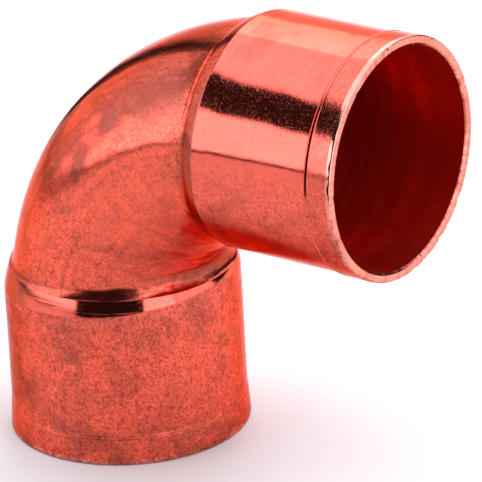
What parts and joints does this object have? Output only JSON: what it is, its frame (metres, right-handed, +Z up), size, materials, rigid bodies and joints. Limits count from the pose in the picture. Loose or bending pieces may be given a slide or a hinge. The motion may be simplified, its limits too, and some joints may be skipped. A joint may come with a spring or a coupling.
{
  "type": "pipe elbow",
  "caption": "Right-angle copper pipe elbow with equal female solder sockets for metric plumbing tube.",
  "frame": {"origin": "centre of the lower mouth, in the plane of its rim", "axes": "+Z up the lower socket's axis, +X out of the upper socket along its axis"},
  "size_m": [0.0591, 0.0306, 0.0591],
  "materials": {
    "satin_copper": "satin formed copper with oxide stains",
    "bright_copper": "polished copper",
    "pressed_copper": "copper burnished by the forming dies",
    "cut_copper": "freshly cut and deburred copper edge"
  },
  "bodies": {
    "root": {"bend_tube": "satin_copper", "lower_neck": "satin_copper", "lower_shoulder": "pressed_copper", "lower_socket": "satin_copper", "lower_bead": "satin_copper", "lower_collar": "satin_copper", "lower_rim": "cut_copper", "upper_neck": "satin_copper", "upper_shoulder": "pressed_copper", "upper_socket": "bright_copper", "upper_bead": "pressed_copper", "upper_collar": "bright_copper", "upper_rim": "cut_copper"}
  },
  "joints": []
}
